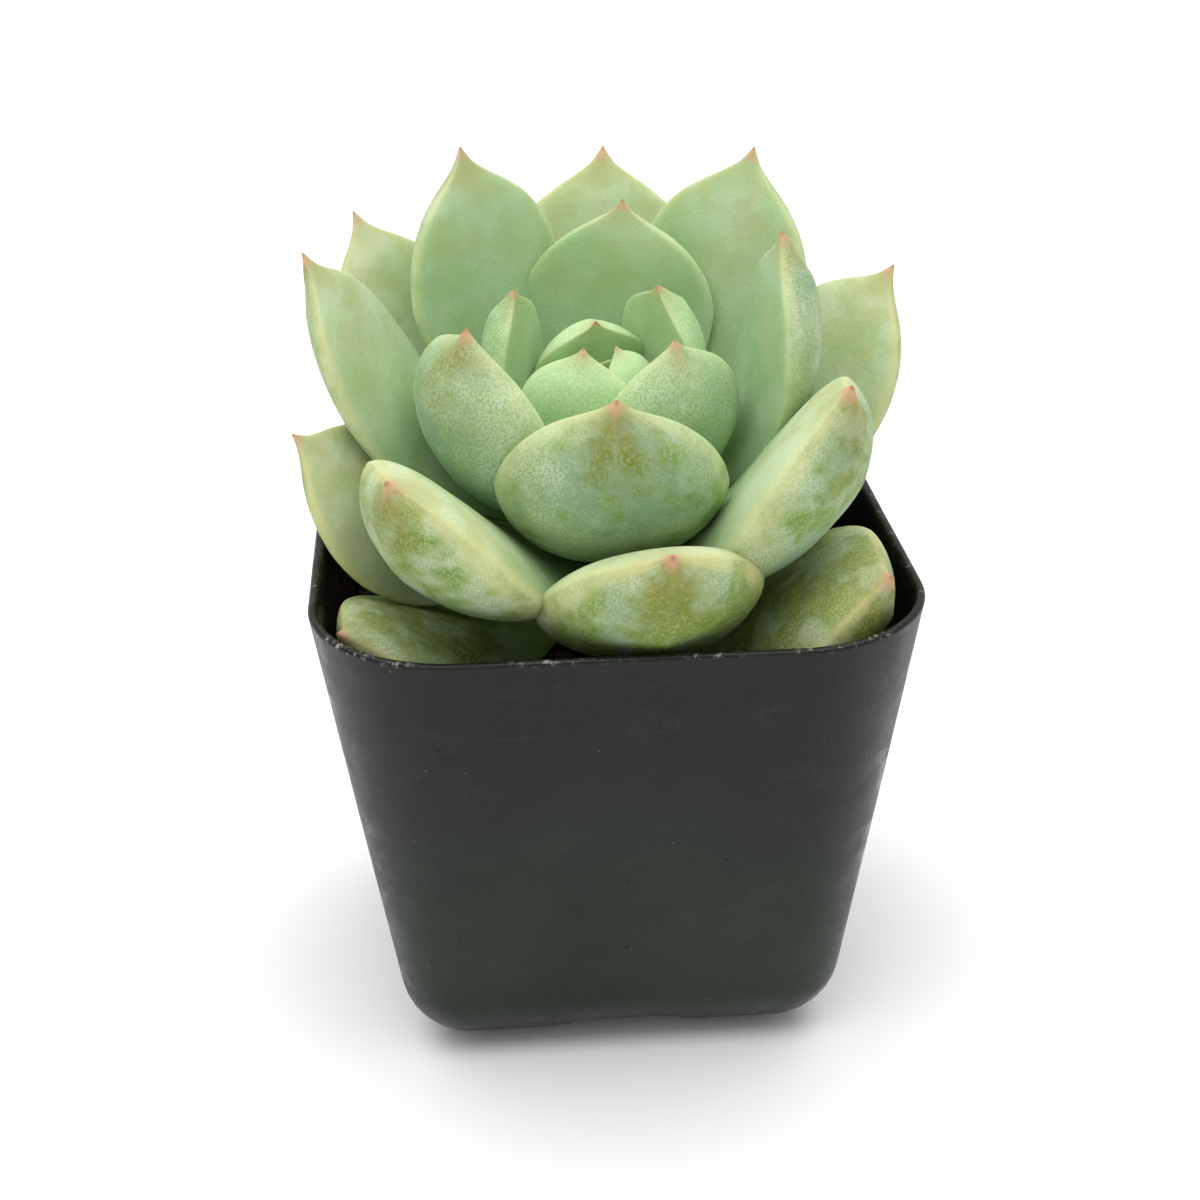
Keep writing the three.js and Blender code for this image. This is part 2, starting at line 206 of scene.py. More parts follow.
# ---------------------------------------------------------------- material helpers
def linear(red, green, blue):
    """Linear colour from display values of 0 to 255."""
    def one(c):
        c /= 255
        return c / 12.92 if c <= 0.04045 else ((c + 0.055) / 1.055) ** 2.4
    return (one(red), one(green), one(blue), 1)


class Material:
    """A node material; its methods add nodes and return their output sockets."""

    def __init__(self, name):
        self.material = bpy.data.materials.new(name)
        self.material.use_nodes = True
        self.tree = self.material.node_tree
        self.tree.nodes.clear()
        self.shader = self.tree.nodes.new("ShaderNodeBsdfPrincipled")
        output = self.tree.nodes.new("ShaderNodeOutputMaterial")
        self.tree.links.new(self.shader.outputs[0], output.inputs["Surface"])
        where = self.tree.nodes.new("ShaderNodeTexCoord").outputs["Object"]
        self.mm = self.vector("SCALE", where, scale=1 / MM)

    def put(self, socket, value):
        if isinstance(value, bpy.types.NodeSocket):
            self.tree.links.new(value, socket)
        else:
            socket.default_value = value

    def set(self, **values):
        for key, value in values.items():
            self.put(self.shader.inputs[key.replace("_", " ")], value)

    def vector(self, operation, a, b=None, scale=None):
        node = self.tree.nodes.new("ShaderNodeVectorMath")
        node.operation = operation
        self.put(node.inputs[0], a)
        if b is not None:
            self.put(node.inputs[1], b)
        if scale is not None:
            self.put(node.inputs["Scale"], scale)
        return node.outputs[0]

    def math(self, operation, a, b=0.0, clamp=False):
        node = self.tree.nodes.new("ShaderNodeMath")
        node.operation = operation
        node.use_clamp = clamp
        self.put(node.inputs[0], a)
        self.put(node.inputs[1], b)
        return node.outputs[0]

    def times(self, *values):
        result = values[0]
        for value in values[1:]:
            result = self.math("MULTIPLY", result, value)
        return result

    def ramp(self, value, low, high, to_low=0.0, to_high=1.0):
        """Smooth step as value goes from low to high; low may be the larger of the two."""
        node = self.tree.nodes.new("ShaderNodeMapRange")
        node.interpolation_type = "SMOOTHSTEP"
        self.put(node.inputs["Value"], value)
        numbers = {"From Min": low, "From Max": high, "To Min": to_low, "To Max": to_high}
        for key, number in numbers.items():
            self.put(node.inputs[key], number)
        return node.outputs[0]

    def mix(self, share, a, b):
        node = self.tree.nodes.new("ShaderNodeMix")
        node.data_type = "RGBA"
        self.put(node.inputs[0], share)
        self.put(node.inputs[6], a)
        self.put(node.inputs[7], b)
        return node.outputs[2]

    def noise(self, size, detail=2.0, roughness=0.5, where=None, stretch=None):
        """Noise with features of about size mm, from 0 to 1."""
        node = self.tree.nodes.new("ShaderNodeTexNoise")
        where = self.mm if where is None else where
        if stretch:
            where = self.vector("MULTIPLY", where, stretch)
        self.put(node.inputs["Vector"], where)
        node.inputs["Scale"].default_value = 1 / size
        node.inputs["Detail"].default_value = detail
        node.inputs["Roughness"].default_value = roughness
        return node.outputs[0]

    def cells(self, size, feature="F1", where=None, output="Distance"):
        node = self.tree.nodes.new("ShaderNodeTexVoronoi")
        node.feature = feature
        self.put(node.inputs["Vector"], self.mm if where is None else where)
        node.inputs["Scale"].default_value = 1 / size
        return node.outputs[output]

    def attribute(self, name):
        node = self.tree.nodes.new("ShaderNodeAttribute")
        node.attribute_name = name
        return node.outputs["Fac"]

    def bump(self, *layers):
        """Stacks (height, depth in mm) layers into a normal."""
        normal = None
        for height, depth in layers:
            node = self.tree.nodes.new("ShaderNodeBump")
            node.inputs["Distance"].default_value = depth * MM
            self.put(node.inputs["Height"], height)
            if normal is not None:
                self.put(node.inputs["Normal"], normal)
            normal = node.outputs[0]
        self.set(Normal=normal)


# ---------------------------------------------------------------- leaf material
def leaf_material():
    """Waxy skin. along runs from foot to point, across from -1 to 1 between the margins, face is 1
    on the upper face and -1 on the back, and age is the leaf's rank as a share of the oldest's."""
    m = Material("leaf_skin")
    s = m.attribute("along")
    across = m.math("ABSOLUTE", m.attribute("across"))
    age = m.attribute("age")
    upper = m.ramp(m.attribute("face"), -0.15, 0.15)
    under = m.math("SUBTRACT", 1.0, upper)
    where = m.vector("ADD", m.mm, m.attribute("seed"))
    old = m.ramp(age, 0.3, 0.6)

    broad = m.noise(8, 2, 0.5, where)
    patch = m.noise(4.5, 6, 0.62, where)
    mottle = m.noise(1.4, 4, 0.65, where)
    fine = m.noise(0.16, 2, 0.65, where)
    pores = m.cells(0.23, where=where)
    grain = m.math("ADD", m.times(fine, 0.6), m.times(pores, 0.7))
    # Patches with grainy edges, spreading further on the oldest leaves.
    ragged = m.math("ADD", patch, m.times(m.math("SUBTRACT", grain, 0.7), 0.35))
    ragged = m.math("ADD", ragged, m.ramp(age, 0.45, 0.6, 0, 0.12))

    # Flesh under the wax: fresh green at the heart, olive in old leaves.
    flesh = m.mix(age, linear(116, 162, 78), linear(98, 122, 26))
    pale_flesh = m.mix(age, linear(138, 178, 98), linear(138, 146, 52))
    flesh = m.mix(m.ramp(mottle, 0.35, 0.7), flesh, pale_flesh)
    # Powdery wax: mint above, from blue-grey to straw on the backs, paler where it lies thick.
    wax = m.mix(m.ramp(broad, 0.35, 0.65), linear(165, 197, 144), linear(180, 207, 164))
    back = m.mix(m.ramp(broad, 0.42, 0.6), linear(144, 174, 152), linear(176, 196, 158))
    back = m.mix(m.times(m.ramp(across, 0.5, 0.95), 0.55), back, linear(188, 200, 152))
    wax = m.mix(m.times(under, m.ramp(age, 0.15, 0.35)), wax, back)
    thick = m.times(m.ramp(m.noise(3, 3, 0.6, where), 0.45, 0.75), m.ramp(under, 0, 1, 0.3, 0.6))
    wax = m.mix(thick, wax, linear(196, 214, 192))
    # Old leaves bleach towards straw above, round the shoulders of the point.
    straw = m.times(old, upper, m.ramp(s, 0.3, 0.85), m.ramp(broad, 0.35, 0.6, 0.3, 0.75))
    wax = m.mix(straw, wax, linear(204, 210, 172))
    # Rubbed off in patches by handling, mostly on the backs of the oldest leaves.
    handled = m.math("MAXIMUM", m.ramp(under, 0, 1, 0.2, 1), m.ramp(age, 0.7, 0.82, 0, 0.8))
    worn = m.times(m.ramp(ragged, 0.555, 0.595), m.ramp(age, 0.28, 0.45), handled)
    # The wax is stippled all over the backs, and clings in dots where it is rubbed.
    speckle = m.times(m.ramp(grain, 0.76, 0.5), m.ramp(handled, 0.2, 1, 0.08, 0.56))
    clinging = m.times(worn, m.ramp(grain, 0.66, 0.88), 0.45)
    # Painted glow at the foot of each leaf, down among the others: the wax is thinned there and a
    # bright saturated green is mixed in, standing for light shining through the flesh.
    foot_glow = m.ramp(s, 0.42, 0.05)
    cover = m.math("SUBTRACT", 0.98, m.times(worn, 0.9))
    cover = m.math("SUBTRACT", m.math("ADD", cover, clinging), speckle)
    cover = m.math("SUBTRACT", cover, m.times(foot_glow, 0.3), clamp=True)
    color = m.mix(cover, flesh, wax)
    color = m.mix(m.times(foot_glow, 0.6), color, linear(140, 198, 84))
    # The youngest leaves are the palest.
    color = m.mix(m.ramp(age, 0.28, 0.04, 0, 0.75), color, linear(208, 234, 182))
    # Olive-brown under the point on the backs, and a faint warm cast above.
    halo = m.times(m.ramp(s, 0.64, 0.92), m.ramp(across, 1.0, 0.3), under)
    halo = m.times(halo, m.ramp(ragged, 0.4, 0.58, 0.25, 1))
    halo = m.times(halo, m.ramp(age, 0.18, 0.34), m.ramp(grain, 0.85, 0.55, 0.45, 0.9))
    color = m.mix(halo, color, linear(116, 124, 36))
    cast = m.times(upper, m.ramp(s, 0.5, 0.88), m.ramp(patch, 0.4, 0.6))
    cast = m.times(cast, m.ramp(age, 0.1, 0.4, 0.15, 0.45))
    color = m.mix(cast, color, linear(174, 180, 116))
    # Pale cream margins, yellower and stronger on old leaves.
    edge = m.times(m.ramp(across, 0.87, 0.985), m.ramp(s, 0.2, 0.55))
    broken = m.ramp(m.noise(3, 3, 0.6, where), 0.32, 0.62, 0.3, 1)
    edge = m.times(edge, broken, m.ramp(age, 0.1, 0.7, 0.4, 0.75))
    color = m.mix(edge, color, m.mix(old, linear(204, 216, 164), linear(204, 202, 142)))
    # Blush round the point, and the point itself.
    blush = m.times(m.ramp(s, 0.86, 0.965), m.ramp(mottle, 0.25, 0.7, 0.3, 1), 0.4)
    color = m.mix(blush, color, linear(186, 164, 104))
    color = m.mix(m.times(m.ramp(s, 0.95, 0.985), 0.75), color, linear(206, 156, 130))
    color = m.mix(m.times(m.ramp(s, 0.985, 0.998), 0.75), color, linear(158, 98, 76))
    # A few dark specks, and dry scars along the margins of old leaves.
    speck = m.times(m.ramp(m.cells(7, where=where), 0.03, 0.018), old)
    color = m.mix(m.times(speck, 0.85), color, linear(46, 44, 30))
    scar = m.times(m.ramp(m.cells(5, where=m.vector("ADD", where, (5.0, 3.0, 1.0))), 0.09, 0.05), old)
    scar = m.times(scar, m.ramp(across, 0.85, 0.95))
    color = m.mix(m.times(scar, 0.8), color, linear(164, 124, 74))

    m.set(Base_Color=color, Roughness=m.math("ADD", 0.48, m.times(cover, 0.22)))
    m.set(IOR=1.4, Specular_IOR_Level=0.35, Subsurface_Weight=0.2, Subsurface_Scale=0.0025)
    m.shader.inputs["Subsurface Radius"].default_value = (0.8, 1.0, 0.35)
    m.bump((m.noise(2.6, 3, 0.55, where), 0.1), (grain, 0.03), (m.times(worn, -1.0), 0.015))
    return m.material


# ---------------------------------------------------------------- leaves
def rosette_matrix():
    lean = Matrix.Rotation(math.radians(ROSETTE_LEAN), 4, "X")
    return Matrix.Translation((0, 0, CROWN_HEIGHT)) @ lean


def foot_radius(rank):
    return CROWN_RADIUS + STEM_FLARE * rank


def midrib_of(leaf, s):
    """How far out and up the midrib is at shares s of its length, and its elevation."""
    curl = math.radians(leaf.get("curl", LEAF_CURL))
    steps = 400
    middle = (np.arange(steps) + 0.5) / steps
    bent = curl * (1 - (1 - middle) ** CURL_EARLY)
    x = np.append(0, np.cumsum(np.cos(bent)))
    y = np.append(0, np.cumsum(np.sin(bent)))
    start = math.radians(leaf["lift"]) - math.atan2(y[-1], x[-1])
    step = leaf["length"] / math.hypot(x[-1], y[-1])
    share = np.linspace(0, 1, steps + 1)
    px, py = np.interp(s, share, x) * step, np.interp(s, share, y) * step
    out = px * math.cos(start) - py * math.sin(start)
    up = px * math.sin(start) + py * math.cos(start)
    return out, up, start + curl * (1 - (1 - np.asarray(s, float)) ** CURL_EARLY)


def leaf_points(leaf):
    """Points of one leaf in mm in the row's frame, with what its material reads."""
    rank, width = leaf["rank"], leaf["width"]
    azimuth = math.radians(FIRST_LEAF + LEAF_TURN * rank + leaf["turn"])
    half = width / 2
    age = min(max((rank - FIRST_AGEING) / AGEING_SPAN, 0), 1)
    back = leaf.get("back", YOUNG_BACK + (OLD_BACK - YOUNG_BACK) * age)
    front = YOUNG_FRONT + (OLD_FRONT - YOUNG_FRONT) * age
    full_roll = math.radians(leaf.get("roll", 0) + FACE_LIGHT * age * math.cos(azimuth))

    t = np.linspace(0, 1, LEAF_RINGS)
    s = (1 - (1 - t) ** RING_CROWDING) * LAST_RING
    a = np.linspace(0, 2 * math.pi, LEAF_AROUND, endpoint=False)
    S, A = np.meshgrid(s, a, indexing="ij")
    cos, sin = np.cos(A), np.sin(A)
    side = np.where(sin >= 0, front, -back)
    lens = side * width * along(DEPTH, S) * np.abs(sin) ** SECTION_POWER
    # A blunt keel down the back towards the point.
    keel = np.exp(-((cos / KEEL_SPREAD) ** 2)) * smooth(0.35, 0.8, S) * smooth(1.0, 0.93, S)
    lens -= np.where(sin < 0, KEEL_HEIGHT * width * keel, 0)
    across = half * along(OUTLINE, S) * cos
    proud = along(CUP, S) * half * cos**2 + lens
    turned = full_roll * np.minimum(1, S / ROLL_DONE)
    v = across * np.cos(turned) - proud * np.sin(turned)
    w = across * np.sin(turned) + proud * np.cos(turned)
    out, up, at = midrib_of(leaf, S)
    points = np.stack([out - w * np.sin(at), v, up + w * np.cos(at)], -1).reshape(-1, 3)

    tip_out, tip_up, _ = midrib_of(leaf, 1.0)
    points = np.vstack([points, [0, 0, 0], [tip_out, 0, tip_up]])
    S = np.append(S.reshape(-1), [0, 1])
    cos = np.append(cos.reshape(-1), [0, 0])
    sin = np.append(sin.reshape(-1), [0, 0])

    # Low, slow unevenness, fading out towards the foot and the point.
    calm = smooth(0, 0.25, S) * smooth(1, 0.86, S)
    uneven = UNEVENNESS * width * wobble(points, UNEVEN_SIZE * width, rank + 1) * calm
    points[:, 2] += uneven
    sway = SWAY * width * wobble(np.stack([S * 9, S * 0, S * 0], -1), 7, rank + 40) * calm
    points[:, 1] += sway

    place = rosette_matrix() @ Matrix.Rotation(azimuth, 4, "Z")
    down = LEAF_DROP * rank - leaf.get("raise", 0)
    place = place @ Matrix.Translation((foot_radius(rank), 0, -down))
    place = np.array(place)
    points = points @ place[:3, :3].T + place[:3, 3]
    return points, S, cos, sin


def make_leaves():
    skin = leaf_material()
    oldest = LEAVES[-1]["rank"]
    chance = random.Random(5)
    faces = loft_faces(LEAF_RINGS, LEAF_AROUND)
    for i, leaf in enumerate(LEAVES, 1):
        points, s, cos, sin = leaf_points(leaf)
        count = len(points)
        piece = add_mesh(f"blade_{i:02d}", points, faces, {
            "along": s,
            "across": cos,
            "face": sin,
            "age": np.full(count, leaf["rank"] / oldest),
            "seed": np.full(count, chance.uniform(0, 400)),
        })
        piece.data.materials.append(skin)
        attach(piece, "root")
        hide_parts(f"leaf_{i:02d}")


# ---------------------------------------------------------------- pot
SIDE_STEPS = 26
CORNER_STEPS = 18


def square_ring(half, corner, z, rise=0.0):
    """Rounded square in mm, counter-clockwise from above; rise lifts the middle of each side."""
    flat = half - corner
    ring = []
    for side in range(4):
        turn = side * math.pi / 2
        sides = [(half, flat * (2 * k / SIDE_STEPS - 1)) for k in range(SIDE_STEPS)]
        for k in range(CORNER_STEPS):
            t = k / CORNER_STEPS * math.pi / 2
            sides.append((flat + corner * math.cos(t), flat + corner * math.sin(t)))
        for out, across in sides:
            reach = abs(across) / (NOTCH_WIDTH / 2)
            arch = 0.5 + 0.5 * math.cos(math.pi * min(max((reach - 0.35) / 0.65, 0), 1))
            ring.append((
                out * math.cos(turn) - across * math.sin(turn),
                out * math.sin(turn) + across * math.cos(turn),
                z + rise * arch,
            ))
    return ring


def wall_half(z):
    return (POT_BASE_WIDTH + (POT_TOP_WIDTH - POT_BASE_WIDTH) * z / POT_HEIGHT) / 2


def wall_corner(z):
    return BASE_CORNER + (RIM_CORNER - BASE_CORNER) * z / POT_HEIGHT


def pot_skin(inset, floor, top, edge_steps=10, wall_steps=14):
    """Rings of one skin of the pot, from the middle of the floor out and up to top."""
    edge = BOTTOM_EDGE - inset
    rings = []
    for share in (0.2, 0.4, 0.5, 0.6, 0.7, 0.85, 1):
        half = (wall_half(floor) - inset - edge) * share
        rings.append(square_ring(half, half * 0.3, floor, NOTCH_RISE * max(0, share - 0.4) / 0.6))
    for k in range(1, edge_steps + 1):
        a = k / edge_steps * math.pi / 2
        z = floor + edge * (1 - math.cos(a))
        pull = inset + edge * (1 - math.sin(a))
        corner = max(2, wall_corner(z) - pull * 0.5)
        rings.append(square_ring(wall_half(z) - pull, corner, z, NOTCH_RISE * (1 - k / edge_steps)))
    for k in range(1, wall_steps + 1):
        z = floor + edge + (top - floor - edge) * k / wall_steps
        rings.append(square_ring(wall_half(z) - inset, wall_corner(z) - inset, z))
    return rings


def pot_material():
    m = Material("pot_plastic")
    height = m.tree.nodes.new("ShaderNodeSeparateXYZ")
    m.put(height.inputs[0], m.mm)
    z = height.outputs["Z"]
    inner = m.attribute("inside")
    color = m.mix(m.ramp(m.noise(16, 3, 0.5), 0.35, 0.65), linear(25, 33, 24), linear(32, 41, 31))
    # Painted shade: the wall is darkened towards near-black from low down up to the rim.
    color = m.mix(m.times(m.ramp(z, 10, 42), 0.85), color, linear(7, 11, 7))
    # A thin haze of dust, wiped away in smears.
    smear = m.noise(4, 4, 0.65, stretch=(0.9, 0.9, 1.1))
    wiped = m.ramp(smear, 0.53, 0.6)
    haze = m.times(m.ramp(smear, 0.5, 0.36), m.ramp(m.noise(0.3, 3, 0.7), 0.35, 0.75), 0.08)
    color = m.mix(haze, color, linear(100, 106, 94))
    # Specks of dark grit and pale grains, in loose groups.
    grit = m.times(m.ramp(m.cells(2.4), 0.09, 0.06), m.ramp(m.noise(7), 0.52, 0.6))
    color = m.mix(grit, color, linear(7, 8, 7))
    grain = m.times(m.ramp(m.cells(1.5), 0.06, 0.03), m.ramp(m.noise(8, 2), 0.52, 0.64))
    color = m.mix(m.times(grain, 0.6), color, linear(150, 150, 138))
    # The rim's edge is worn pale in flecks.
    rim = m.ramp(z, POT_HEIGHT - 0.6, POT_HEIGHT - 0.1)
    fleck = m.times(rim, m.ramp(m.noise(0.7, 5, 0.75), 0.53, 0.66), m.ramp(m.noise(9, 2), 0.44, 0.6))
    color = m.mix(m.times(fleck, 0.85), color, linear(168, 168, 156))
    # Painted shade inside the pot: the inner wall is darkened nearly to black.
    color = m.mix(m.times(inner, 0.7), color, linear(9, 10, 9))
    # A few hair-fine scratches.
    scratch = m.ramp(m.noise(0.9, 2, 0.5, stretch=(0.12, 0.12, 2.2)), 0.69, 0.73)
    scratch = m.times(scratch, m.ramp(m.noise(10, 2), 0.52, 0.62))
    color = m.mix(m.times(scratch, 0.05), color, linear(110, 112, 106))
    rough = m.ramp(m.noise(3.5, 4, 0.65), 0.3, 0.75, 0.34, 0.46)
    rough = m.math("SUBTRACT", rough, m.times(wiped, 0.12))
    m.set(Base_Color=color, Roughness=m.math("ADD", rough, m.times(haze, 0.9)))
    m.set(IOR=1.5, Specular_IOR_Level=0.27)
    m.bump((m.noise(14, 2, 0.5), 0.16), (m.noise(0.3, 3, 0.6), 0.008), (scratch, -0.004), (grit, -0.06))
    return m.material


def make_pot():
    top = POT_HEIGHT - RIM_ROUND
    outer = pot_skin(0, 0, top)
    lip = []
    for k in range(1, LIP_RINGS):
        # Round lip from the outer skin over to the inner one.
        a = math.pi * k / LIP_RINGS
        inset = POT_WALL / 2 * (1 - math.cos(a))
        z = min(top + RIM_ROUND * math.sin(a) ** 0.8, POT_HEIGHT)
        lip.append(square_ring(wall_half(POT_HEIGHT) - inset, wall_corner(POT_HEIGHT) - inset, z))
    inner = pot_skin(POT_WALL, POT_FLOOR, top)[::-1]
    rings = outer + lip + inner
    points = np.array([p for ring in rings for p in ring] + [(0, 0, 0), (0, 0, POT_FLOOR)])
    around = len(rings[0])
    # Marks the inner skin, which the material darkens as painted shade.
    inside = np.zeros(len(points))
    inside[(len(outer) + len(lip) - 1) * around:-2] = 1
    inside[-1] = 1
    # Thin moulded walls are never quite true.
    squat = points * (1, 1, 0.6)
    waver = np.stack([wobble(squat, WAVER_SIZE, 3), wobble(squat, WAVER_SIZE, 8)], -1)
    points[:, :2] += waver * WALL_WAVER * smooth(6, 30, points[:, 2])[:, None]
    pot = add_mesh("nursery_pot", points, loft_faces(len(rings), around), {"inside": inside})
    for side in range(4):
        turn = side * math.pi / 2 + math.pi / 4
        where = (DRAIN_OFFSET * MM * math.cos(turn), DRAIN_OFFSET * MM * math.sin(turn), 0)
        drill = bmesh.new()
        radius = DRAIN_WIDTH / 2 * MM
        bmesh.ops.create_cone(
            drill, cap_ends=True, segments=40, radius1=radius, radius2=radius, depth=DRILL_DEPTH * MM)
        mesh = bpy.data.meshes.new("drill")
        drill.to_mesh(mesh)
        drill.free()
        tool = bpy.data.objects.new("drill", mesh)
        tool.location = where
        bpy.context.scene.collection.objects.link(tool)
        cut = pot.modifiers.new("drain", "BOOLEAN")
        cut.object = tool
        cut.operation = "DIFFERENCE"
        cut.solver = "EXACT"
        bpy.context.view_layer.update()
        done = pot.evaluated_get(bpy.context.evaluated_depsgraph_get())
        cut_mesh = bpy.data.meshes.new_from_object(done)
        pot.modifiers.clear()
        pot.data = cut_mesh
        bpy.data.objects.remove(tool)
    pot.data.materials.clear()
    pot.data.materials.append(pot_material())
    sharp = pot.modifiers.new("edges", "EDGE_SPLIT")
    sharp.split_angle = math.radians(50)
    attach(pot, "root")
    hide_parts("pot")


# ---------------------------------------------------------------- potting mix and stem
def mix_material():
    m = Material("peat_mix")
    color = m.mix(m.ramp(m.noise(1.1, 4, 0.7), 0.35, 0.7), linear(26, 20, 15), linear(58, 45, 33))
    color = m.mix(m.ramp(m.noise(0.4, 3, 0.7), 0.6, 0.75), color, linear(92, 72, 52))
    m.set(Base_Color=color, Roughness=0.92, Specular_IOR_Level=0.2)
    m.bump((m.noise(0.7, 5, 0.75), 0.5))
    return m.material


def crumb_material():
    m = Material("bark_crumbs")
    tone = m.attribute("tone")
    color = m.mix(tone, linear(30, 22, 16), linear(96, 72, 50))
    color = m.mix(m.ramp(tone, 0.93, 0.96), color, linear(186, 180, 166))
    color = m.mix(m.times(m.ramp(m.noise(0.5, 4, 0.7), 0.5, 0.7), 0.5), color, linear(20, 15, 11))
    m.set(Base_Color=color, Roughness=0.9, Specular_IOR_Level=0.2)
    m.bump((m.noise(0.35, 4, 0.7), 0.12))
    return m.material


def soil_height(x, y):
    half = wall_half(SOIL_LEVEL) - POT_WALL - SOIL_GAP
    share = min(max(abs(x), abs(y)) / half, 1)
    rough = noise.fractal(Vector((x / SOIL_LUMPS, y / SOIL_LUMPS, 1.7)), 0.9, 2.0, 5)
    return SOIL_LEVEL + SOIL_MOUND * (1 - share) + SOIL_ROUGHNESS * rough


def make_mix():
    inset = POT_WALL + SOIL_GAP
    rings = pot_skin(inset, POT_FLOOR + SOIL_GAP, SOIL_LEVEL, 5, 6)
    steps = 46
    half = wall_half(SOIL_LEVEL) - inset
    corner = wall_corner(SOIL_LEVEL) - inset
    top = []
    for k in range(1, steps):
        share = 1 - k / steps
        ring = square_ring(half * share, corner * share, SOIL_LEVEL)
        top.append([(x, y, min(soil_height(x, y), SOIL_LEVEL + 2.2)) for x, y, _ in ring])
    points = [p for ring in rings + top for p in ring]
    points += [(0, 0, POT_FLOOR + SOIL_GAP), (0, 0, soil_height(0, 0))]
    mix = add_mesh("peat", points, loft_faces(len(rings) + len(top), len(rings[0])))
    mix.data.materials.append(mix_material())
    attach(mix, "root")
    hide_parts("potting_mix")

    chance = random.Random(11)
    crumbs = bmesh.new()
    tone = crumbs.verts.layers.float.new("tone")
    for _ in range(CRUMB_COUNT):
        x, y = chance.uniform(-half, half), chance.uniform(-half, half)
        out = max(abs(x), abs(y))
        if out > half - 0.8 or abs(x) + abs(y) > 2 * half - corner * 0.6 - 1:
            continue
        size = chance.uniform(CRUMB_SMALL, CRUMB_LARGE) * (1.6 if chance.random() < 0.08 else 1)
        length = size * chance.uniform(0.7, 1.6)
        shape = Matrix.Diagonal((length, size, size * chance.uniform(0.4, 0.8), 1))
        spin = Matrix.Rotation(chance.uniform(0, 6.3), 4, "Z")
        spin = spin @ Matrix.Rotation(chance.uniform(-0.6, 0.6), 4, "X")
        at = Matrix.Translation((x, y, soil_height(x, y) + size * 0.15))
        made = bmesh.ops.create_icosphere(crumbs, subdivisions=1, radius=1, matrix=at @ spin @ shape)
        shade = chance.random()
        for v in made["verts"]:
            v.co += Vector([chance.uniform(-0.18, 0.18) * size for _ in range(3)])
            v[tone] = shade
    for v in crumbs.verts:
        v.co *= MM
    mesh = bpy.data.meshes.new("crumbs")
    crumbs.to_mesh(mesh)
    crumbs.free()
    piece = bpy.data.objects.new("bark_crumbs", mesh)
    bpy.context.scene.collection.objects.link(piece)
    piece.data.materials.append(crumb_material())
    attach(piece, "root")


def stem_material():
    m = Material("stem_skin")
    color = m.mix(m.ramp(m.noise(2.5, 4, 0.6), 0.35, 0.65), linear(128, 142, 84), linear(150, 156, 102))
    color = m.mix(m.times(m.ramp(m.noise(1.2, 3, 0.6), 0.5, 0.7), 0.6), color, linear(146, 118, 80))
    m.set(Base_Color=color, Roughness=0.65, Specular_IOR_Level=0.3)
    m.bump((m.noise(0.8, 4, 0.6), 0.12))
    return m.material


def make_stem():
    oldest = LEAVES[-1]["rank"]
    rings, around = 60, 48
    low = -LEAF_DROP * oldest - STEM_BELOW_LEAVES
    place = np.array(rosette_matrix())
    points = []
    for k in range(rings):
        z = low + (0 - low) * k / (rings - 1)
        rank = min(max(-z / LEAF_DROP, 0), oldest)
        radius = max(0.5, foot_radius(rank) - STEM_GAP) * (0.75 + 0.25 * smooth(low, low + 6, z))
        for j in range(around):
            a = 2 * math.pi * j / around
            scar = STEM_SCAR * max(0, math.sin(2 * math.pi * z / SCAR_SPACING + 3 * a)) ** 3
            points.append(((radius + scar) * math.cos(a), (radius + scar) * math.sin(a), z))
    points += [(0, 0, low - 0.5), (0, 0, 0.2)]
    points = np.array(points) @ place[:3, :3].T + place[:3, 3]
    stem = add_mesh("stem_skin", points, loft_faces(rings, around))
    stem.data.materials.append(stem_material())
    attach(stem, "root")
    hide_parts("stem")


# ---------------------------------------------------------------- camera, floor and light
CAMERA_PITCH = 25.53  # degrees below the horizon
CAMERA_YAW = 4.55  # degrees, from in front towards the object's left
CAMERA_ROLL = -0.52
CAMERA_DISTANCE = 197.7  # mm, from the point it is aimed past
AIM_HEIGHT = 35  # mm
LENS = 62.07  # mm
SENSOR = 36  # mm
SHIFT_X, SHIFT_Y = -0.0045, 0.02275  # shares of the sensor

# Metres from here on, as the lights are far larger than the object.
FLOOR_HALF = 6
WORLD_STRENGTH = 0.6
OVERHEAD = {"where": (0, 0.2, 2.2), "aim": (0, 0.2, 0), "size": 3.4, "watts": 70}
KEY = {"where": (-0.25, -0.3, 0.6), "aim": (0, 0, 0.05), "size": 0.45, "watts": 0.5}


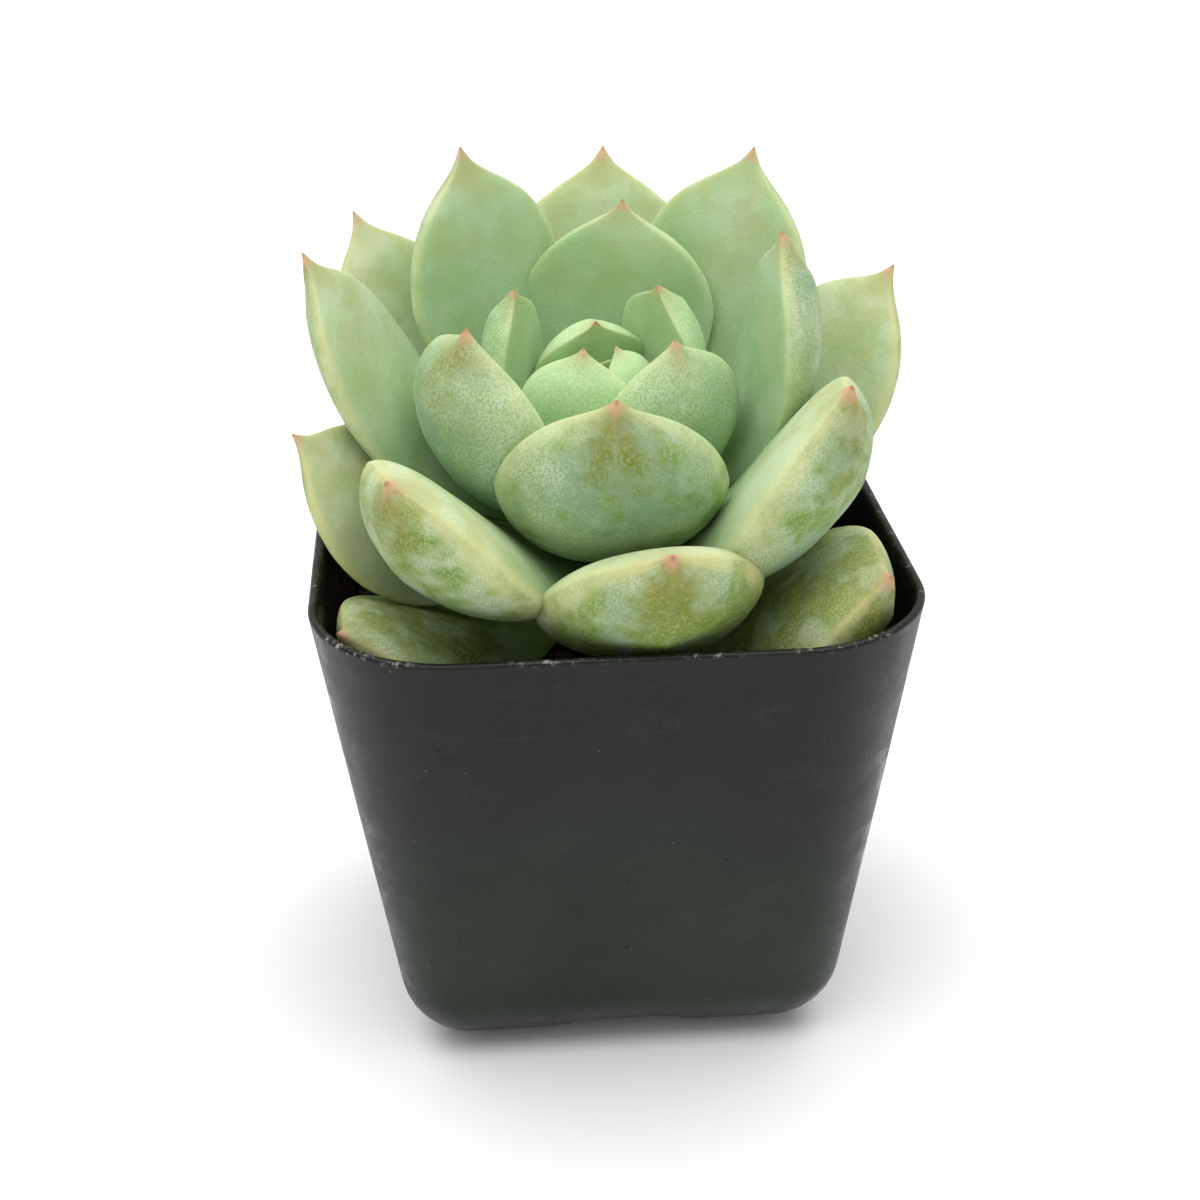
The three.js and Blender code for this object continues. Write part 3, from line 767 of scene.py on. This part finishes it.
def make_camera():
    data = bpy.data.cameras.new("camera")
    camera = bpy.data.objects.new("camera", data)
    bpy.context.scene.collection.objects.link(camera)
    data.lens = LENS
    data.sensor_width = SENSOR
    data.shift_x = SHIFT_X
    data.shift_y = SHIFT_Y
    data.clip_start = 0.01
    data.clip_end = 20
    yaw = Matrix.Rotation(-math.radians(CAMERA_YAW), 4, "Z")
    pitch = Matrix.Rotation(math.radians(90 - CAMERA_PITCH), 4, "X")
    roll = Matrix.Rotation(math.radians(CAMERA_ROLL), 4, "Z")
    back = Matrix.Translation((0, 0, CAMERA_DISTANCE * MM))
    camera.matrix_world = Matrix.Translation((0, 0, AIM_HEIGHT * MM)) @ yaw @ pitch @ back @ roll
    bpy.context.scene.camera = camera


def area_light(name, where, aim, size, watts):
    data = bpy.data.lights.new(name, "AREA")
    data.shape = "SQUARE"
    data.size = size
    data.energy = watts
    light = bpy.data.objects.new(name, data)
    bpy.context.scene.collection.objects.link(light)
    light.location = where
    light.rotation_euler = (Vector(aim) - Vector(where)).to_track_quat("-Z", "Y").to_euler()


def make_stage():
    mesh = bpy.data.meshes.new("floor")
    corners = [(x * FLOOR_HALF, y * FLOOR_HALF, 0) for x, y in ((-1, -1), (1, -1), (1, 1), (-1, 1))]
    mesh.from_pydata(corners, [], [(0, 1, 2, 3)])
    floor = bpy.data.objects.new("floor", mesh)
    bpy.context.scene.collection.objects.link(floor)
    m = Material("floor_paper")
    m.set(Base_Color=(0.92, 0.92, 0.92, 1), Roughness=0.9, Specular_IOR_Level=0.1)
    mesh.materials.append(m.material)
    world = bpy.data.worlds.new("studio")
    bpy.context.scene.world = world
    world.use_nodes = True
    background = world.node_tree.nodes["Background"]
    background.inputs["Color"].default_value = (1, 1, 1, 1)
    background.inputs["Strength"].default_value = WORLD_STRENGTH
    area_light("overhead", **OVERHEAD)
    area_light("key", **KEY)
    bpy.context.scene.view_settings.view_transform = "Standard"


make_camera()
make_stage()
make_pot()
make_mix()
make_stem()
make_leaves()
